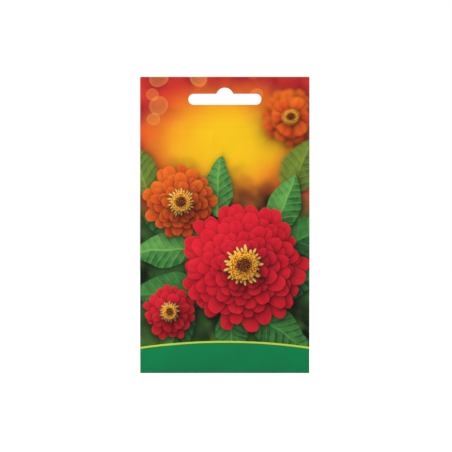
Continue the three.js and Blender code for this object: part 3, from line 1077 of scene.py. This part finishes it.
def new_material(name):
    """(material, graph, shader)"""
    material = bpy.data.materials.new(name)
    material.use_nodes = True
    graph = Graph(material.node_tree)
    shader = material.node_tree.nodes["Principled BSDF"]
    return material, graph, shader


def finish(g, shader, colour, roughness, relief, strength, distance):
    """Joins a colour, a roughness and a fine relief to the shader."""
    bump = g.value("Bump", {"Strength": strength, "Distance": distance, "Height": relief})
    for name, value in ("Base Color", colour), ("Roughness", roughness), ("Normal", bump):
        g.feed(shader.inputs[name], value)


def paper(name, colour_at, gloss, tooth, specular=0.5):
    """Paper: colour_at gives its colour from its place on the flat sheet in mm. Its
    roughness varies a little, and it has a fine tooth."""
    material, g, shader = new_material(name)
    across, up, _ = g.split("SeparateXYZ", g.value("UVMap", {}, uv_map="Print"))
    colour = colour_at(g, across, up)
    fibre = g.noise(across, up, 1, scale=3.2, detail=4, rough=0.6)
    patch = g.noise(across, up, 5, scale=0.12, detail=2)
    roughness = gloss + (fibre - 0.5) * 0.1 + (patch - 0.5) * 0.08
    finish(g, shader, colour, roughness, fibre, tooth, 0.05 * MM)
    shader.inputs["Specular IOR Level"].default_value = specular
    return material


def worn(g, across, up, picture):
    """Bare fibres where the print has cracked here and there along the folds."""
    from_fold = g.math("MINIMUM", abs(abs(across) - WIDTH / 2), abs(up))
    speck = g.noise(across, up, 9, scale=2.2, detail=4, rough=0.65)
    patchy = g.noise(across, up, 12, scale=0.09, detail=2)
    reach = 0.01 + 0.14 * g.step(patchy, 0.5, 0.72)
    rubbed = g.step(from_fold + (speck - 0.42) * 0.5, reach, reach * 0.4)
    return g.mix(rubbed * 0.4, picture, srgb(220, 208, 196))


def grained(g, across, up, picture, depth):
    """The picture in the fine grain of print on paper."""
    grain = g.noise(across, up, 2, scale=6, detail=1)
    return g.scale(picture, 0.97 + depth * grain)


def front_colour(g, across, up):
    picture = worn(g, across, up, front_picture(g, across, abs(up)))
    return grained(g, across, up, picture, 0.06)


def back_colour(g, across, up):
    """The back and, beyond the front on the flat sheet, the lap that completes it."""
    on_lap = g.step(across, 0, 1)
    seen = across + WIDTH - 2 * WIDTH * on_lap
    return grained(g, across, up, back_picture(g, seen, up), 0.04)


def bare_colour(g, across, up):
    fleck = g.noise(across, up, 4, scale=2, detail=4, rough=0.7)
    return g.mix(g.clamp((fleck - 0.35) * 1.6), srgb(226, 222, 210), srgb(246, 243, 234))


def seed_husk():
    material, g, shader = new_material("seed_husk")
    place = Value(g, g.add("TexCoord", {}).outputs["Object"])
    x, y, z = (part * (1 / MM) for part in g.split("SeparateXYZ", place))
    rib = g.noise(x * 3, y * 3, z * 0.35, detail=3)
    mottle = g.noise(x, y, z, scale=0.8, detail=3)
    colour = g.mix(rib, srgb(70, 52, 34), srgb(142, 112, 76))
    colour = g.mix(g.step(mottle, 0.45, 0.7) * 0.5, colour, srgb(98, 88, 70))
    finish(g, shader, colour, 0.7 + (mottle - 0.5) * 0.3, rib, 0.5, 0.1 * MM)
    return material


# ---- stage

def floor():
    material, g, shader = new_material("floor_white")
    shader.inputs["Base Color"].default_value = srgb(190, 190, 190)
    shader.inputs["Roughness"].default_value = 0.9
    shader.inputs["Emission Color"].default_value = (1, 1, 1, 1)
    seen = Value(g, g.add("LightPath", {}).outputs["Is Camera Ray"])
    g.feed(shader.inputs["Emission Strength"], seen)
    below_packet = 60
    bpy.ops.mesh.primitive_circle_add(vertices=96, radius=3.0, fill_type="NGON",
                                      location=(0, 0, (BOTTOM - below_packet) * MM))
    disc = bpy.context.object
    disc.name = "floor"
    disc.data.materials.append(material)
    disc.visible_glossy = False


def world(ambient):
    """A white surround that lights the object less than it shows: ambient is how bright it
    alone makes a white sheet."""
    scene = bpy.context.scene
    scene.world = bpy.data.worlds.new("studio")
    scene.world.use_nodes = True
    ground = scene.world.node_tree.nodes["Background"]
    ground.inputs["Color"].default_value = (1, 1, 1, 1)
    g = Graph(scene.world.node_tree)
    seen = Value(g, g.add("LightPath", {}).outputs["Is Camera Ray"])
    g.feed(ground.inputs["Strength"], ambient + seen * (1.0 - ambient))


def lamp(name, azimuth, elevation, size, share):
    """A round soft light aimed at the packet from an azimuth, 0 in front and 90 to its
    right as seen, and an elevation. share is how bright it alone makes a white sheet that
    faces it."""
    distance = 0.9
    around, up = math.radians(azimuth), math.radians(elevation)
    toward = Vector((math.sin(around) * math.cos(up), -math.cos(around) * math.cos(up),
                     math.sin(up)))
    data = bpy.data.lights.new(name, "AREA")
    data.shape = "DISK"
    data.size = size
    data.energy = share * (math.pi * distance) ** 2
    made = new_object(name, data)
    made.location = toward * distance + Vector((0, 0, MIDDLE * MM))
    made.rotation_euler = (-toward).to_track_quat("-Z", "Y").to_euler()


def camera():
    """Square on to the front, as the photograph, whose middle is just right of and below
    the packet's own."""
    right_of_middle = 0.57
    below_middle = 0.45
    frame_width = 213.55  # of what the camera sees at the packet
    data = bpy.data.cameras.new("camera")
    data.lens = 100
    data.sensor_width = 36
    distance = frame_width * data.lens / data.sensor_width
    made = new_object("camera", data)
    made.location = (right_of_middle * MM, -distance * MM, (MIDDLE - below_middle) * MM)
    made.rotation_euler = (math.pi / 2, 0, 0)
    bpy.context.scene.camera = made


camera()
bpy.context.scene.view_settings.view_transform = "Standard"
world(ambient=0.24)
lamp("key", -44, 36, 0.25, 0.86)
lamp("fill", 50, 14, 0.5, 0.24)
lamp("rear_key", 230, 42, 0.25, 0.86)
lamp("rear_fill", 130, 14, 0.5, 0.24)
floor()

packet = packet_piece(paper("front_print", front_colour, 0.36, 0.25, PRINT_SPECULAR),
                      paper("back_print", back_colour, 0.46, 0.3, PRINT_SPECULAR),
                      paper("bare_paper", bare_colour, 0.8, 0.5))
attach(packet, "root")
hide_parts("packet_paper")

husk = seed_husk()
for name in SEEDS:
    seed = seed_piece(name, husk)
    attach(seed, "root")
    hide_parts(name)
